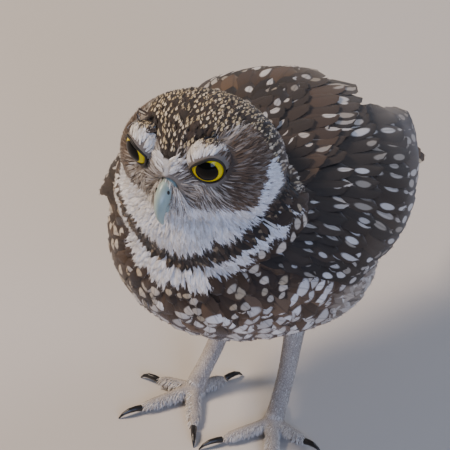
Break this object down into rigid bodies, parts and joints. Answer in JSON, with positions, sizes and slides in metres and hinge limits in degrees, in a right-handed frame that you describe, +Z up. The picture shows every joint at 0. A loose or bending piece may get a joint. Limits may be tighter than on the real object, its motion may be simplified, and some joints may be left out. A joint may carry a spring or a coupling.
{
  "type": "burrowing owl",
  "caption": "Life-size still model of a standing burrowing owl with round head, folded wings in tiers, short tail and long bare legs.",
  "frame": {"origin": "bottom centre of the bounding box, on the floor that the feet stand on", "axes": "+Z up, the bird faces -Y and its left side is +X"},
  "size_m": [0.1102, 0.1746, 0.1641],
  "materials": {
    "feathers_brown": "soft matte feathers, brown with pale spots",
    "feathers_belly": "soft matte feathers, off-white barred with brown",
    "bill": "smooth grey-green horn",
    "eye": "wet clear cornea over a yellow iris and black pupil",
    "leg_skin": "short pale bristly feathers over scaly skin",
    "claw": "smooth black horn"
  },
  "bodies": {
    "root": {"torso": "feathers_belly", "neck": "feathers_belly", "head": "feathers_brown", "bill_upper": "bill", "bill_lower": "bill", "eye_left": "eye", "eye_right": "eye", "wing_left": "feathers_brown", "wing_right": "feathers_brown", "tail": "feathers_brown", "thigh_left": "feathers_belly", "thigh_right": "feathers_belly", "shank_left": "leg_skin", "shank_right": "leg_skin", "foot_left": "leg_skin", "foot_right": "leg_skin", "claw_inner_left": "claw", "claw_inner_right": "claw", "claw_middle_left": "claw", "claw_middle_right": "claw", "claw_outer_left": "claw", "claw_outer_right": "claw", "claw_hind_left": "claw", "claw_hind_right": "claw"}
  },
  "joints": []
}
